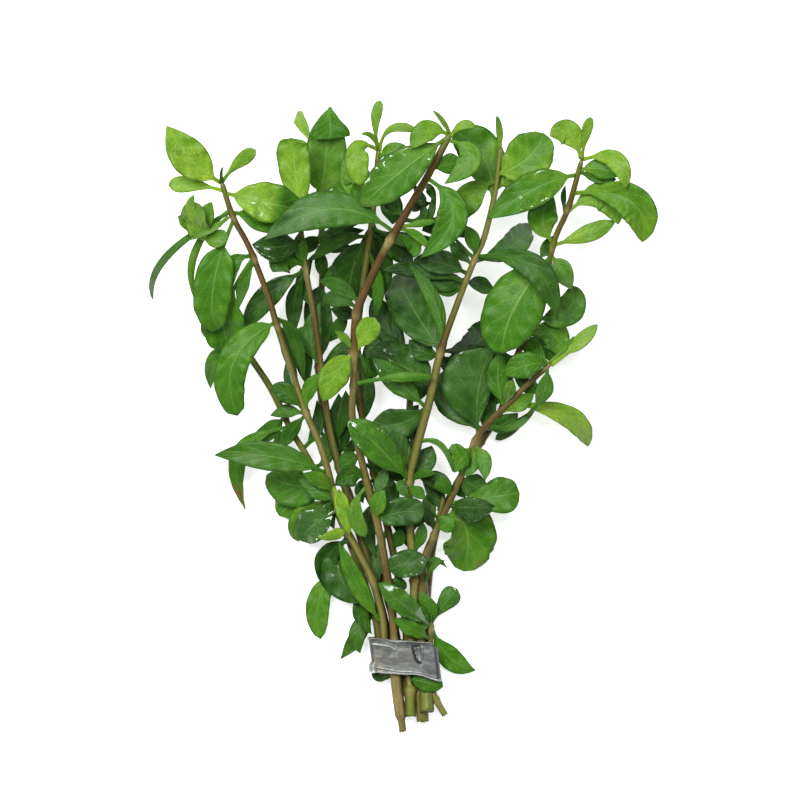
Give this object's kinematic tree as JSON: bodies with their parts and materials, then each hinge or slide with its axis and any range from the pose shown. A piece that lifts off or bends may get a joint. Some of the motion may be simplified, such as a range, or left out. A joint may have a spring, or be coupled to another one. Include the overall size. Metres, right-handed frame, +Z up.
{
  "type": "bunched aquarium plant",
  "caption": "Bunch of cut hygrophila stems with opposite green leaves, bound near the cut ends by a wrapped strip of soft grey metal and lying flat.",
  "frame": {"origin": "under the middle of the metal strip, on the surface the bunch lies on", "axes": "+Y along the bunch from the strip to the leaf tips, +Z up from the surface, +X to the right seen from above"},
  "size_m": [0.1613, 0.2002, 0.0513],
  "materials": {
    "stem": "satin, olive to red-brown, swollen at the leaf joints",
    "young_leaf": "wet satin, light yellow-green with a pale midrib",
    "leaf": "wet satin, mid green with a pale midrib",
    "old_leaf": "wet satin, dark green",
    "metal": "dull soft grey metal, creased, with faint streaks"
  },
  "bodies": {
    "root": {"stem_a": "stem", "stem_b": "stem", "stem_c": "stem", "stem_d": "stem", "stem_e": "stem", "stem_f": "stem", "stem_g": "stem", "stem_h": "stem", "stem_i": "stem", "stem_j": "stem", "stem_k": "stem", "leaf_a1": "young_leaf", "leaf_a2": "young_leaf", "leaf_a3": "leaf", "leaf_a4": "leaf", "leaf_a5": "leaf", "leaf_a6": "leaf", "leaf_a7": "leaf", "leaf_a8": "old_leaf", "leaf_a9": "old_leaf", "leaf_b1": "young_leaf", "leaf_b2": "young_leaf", "leaf_b3": "young_leaf", "leaf_b4": "leaf", "leaf_b5": "leaf", "leaf_b6": "old_leaf", "leaf_c1": "leaf", "leaf_c2": "young_leaf", "leaf_c3": "young_leaf", "leaf_c4": "leaf", "leaf_c5": "young_leaf", "leaf_c6": "leaf", "leaf_c7": "old_leaf", "leaf_c8": "leaf", "leaf_d1": "young_leaf", "leaf_d2": "young_leaf", "leaf_d3": "young_leaf", "leaf_d4": "young_leaf", "leaf_d5": "young_leaf", "leaf_d6": "leaf", "leaf_d7": "young_leaf", "leaf_d8": "leaf", "leaf_d9": "leaf", "leaf_d10": "leaf", "leaf_e1": "old_leaf", "leaf_e2": "leaf", "leaf_e3": "leaf", "leaf_e4": "old_leaf", "leaf_f1": "old_leaf", "leaf_f2": "old_leaf", "leaf_f3": "old_leaf", "leaf_f4": "old_leaf", "leaf_g1": "leaf", "leaf_g2": "leaf", "leaf_h1": "old_leaf", "leaf_j1": "leaf", "leaf_j2": "old_leaf", "leaf_k1": "leaf", "leaf_k2": "leaf", "metal_strip": "metal"}
  },
  "joints": []
}
